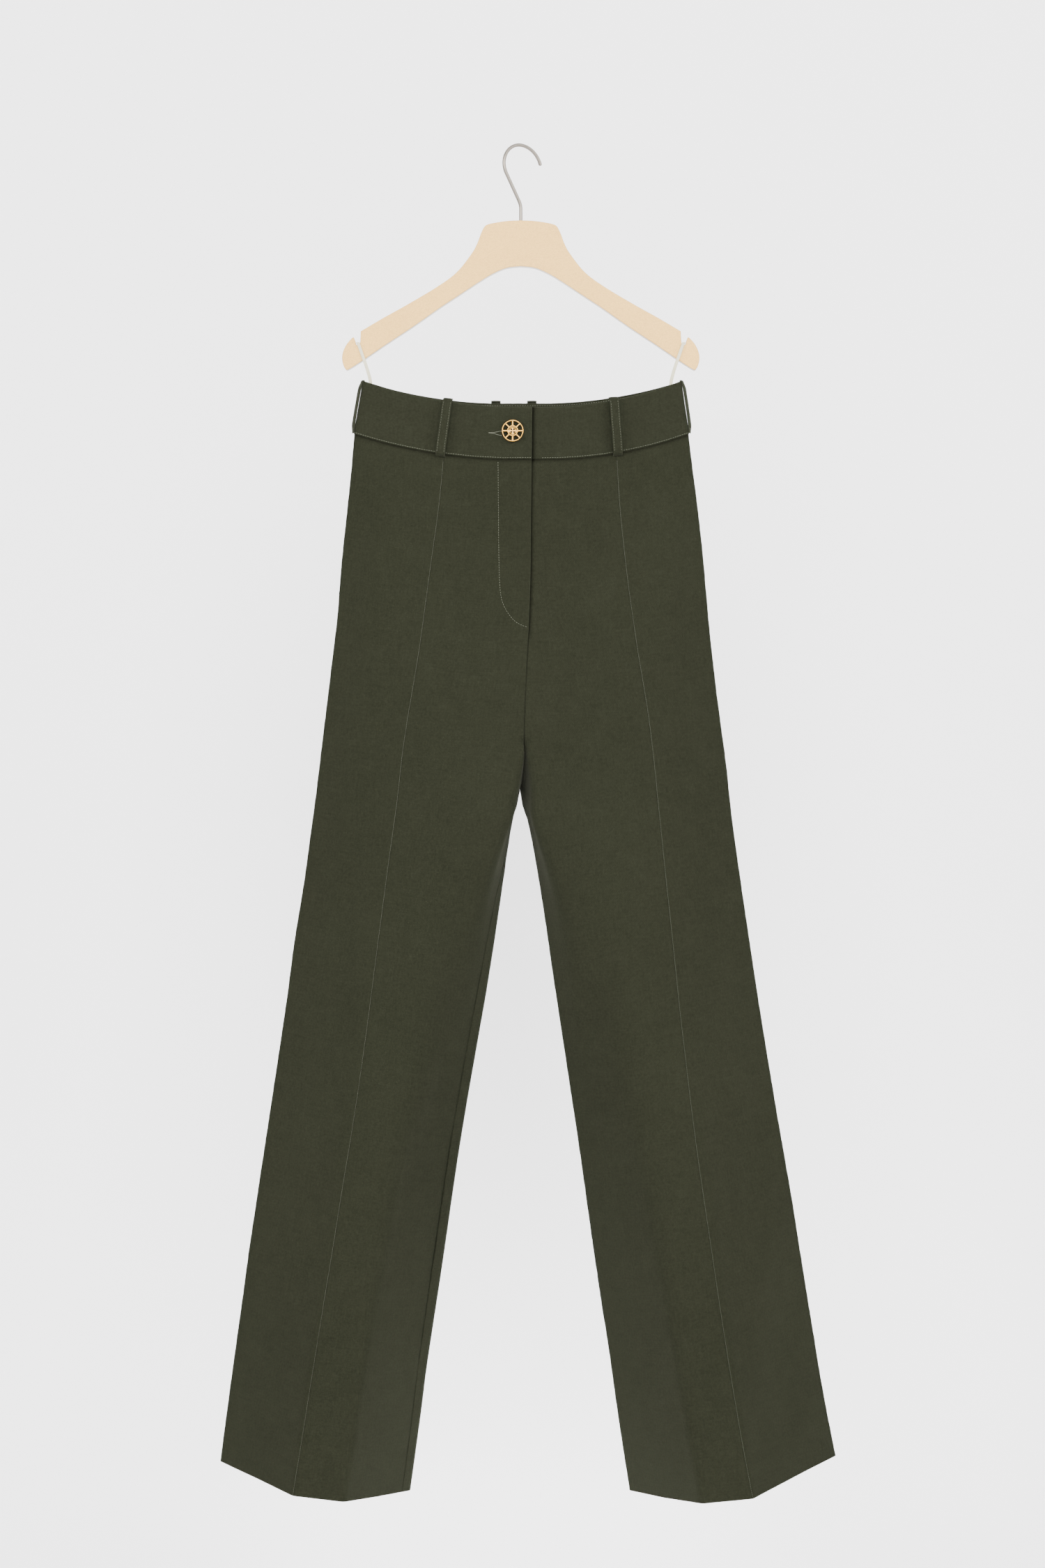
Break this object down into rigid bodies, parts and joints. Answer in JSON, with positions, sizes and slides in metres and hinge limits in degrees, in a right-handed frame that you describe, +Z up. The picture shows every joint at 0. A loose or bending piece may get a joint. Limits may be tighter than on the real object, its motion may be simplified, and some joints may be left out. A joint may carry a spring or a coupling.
{
  "type": "flared trousers on a wooden hanger",
  "caption": "High-waisted wide flared trousers with long front seams, fly, belt loops and a metal button, hung by ribbon loops from a flat wooden hanger with a wire hook.",
  "frame": {"origin": "the inner crest of the hook, where it lies on a rail", "axes": "+Z up along the hook's stem, +X to the viewer's right across the trousers, -Y towards the front of the trousers"},
  "size_m": [0.6488, 0.197, 1.4206],
  "materials": {
    "cloth": "matte olive gabardine, fine twill",
    "band_cloth": "matte olive gabardine over a stiffening",
    "pocket_cloth": "matte plain pocket cloth",
    "zip_tape": "matte woven tape",
    "thread": "matte wound thread",
    "gold_metal": "polished pale gold plate",
    "fibreboard": "satin, fine grain, broken edges",
    "hook_steel": "satin round wire",
    "ribbon": "satin cream ribbon"
  },
  "bodies": {
    "root": {"back_left": "cloth", "back_right": "cloth", "button": "gold_metal", "button_thread_post": "thread", "fly_shield": "cloth", "fly_zip": "zip_tape", "front_inner_left": "cloth", "front_inner_right": "cloth", "front_outer_left": "cloth", "front_outer_right": "cloth", "hanger_board": "fibreboard", "hanging_ribbon_left": "ribbon", "hanging_ribbon_right": "ribbon", "hook": "hook_steel", "loop_back_left": "band_cloth", "loop_back_right": "band_cloth", "loop_front_left": "band_cloth", "loop_front_right": "band_cloth", "loop_side_left": "band_cloth", "loop_side_right": "band_cloth", "pocket_bag_left": "pocket_cloth", "pocket_bag_right": "pocket_cloth", "waistband_left": "band_cloth", "waistband_right": "band_cloth"}
  },
  "joints": []
}
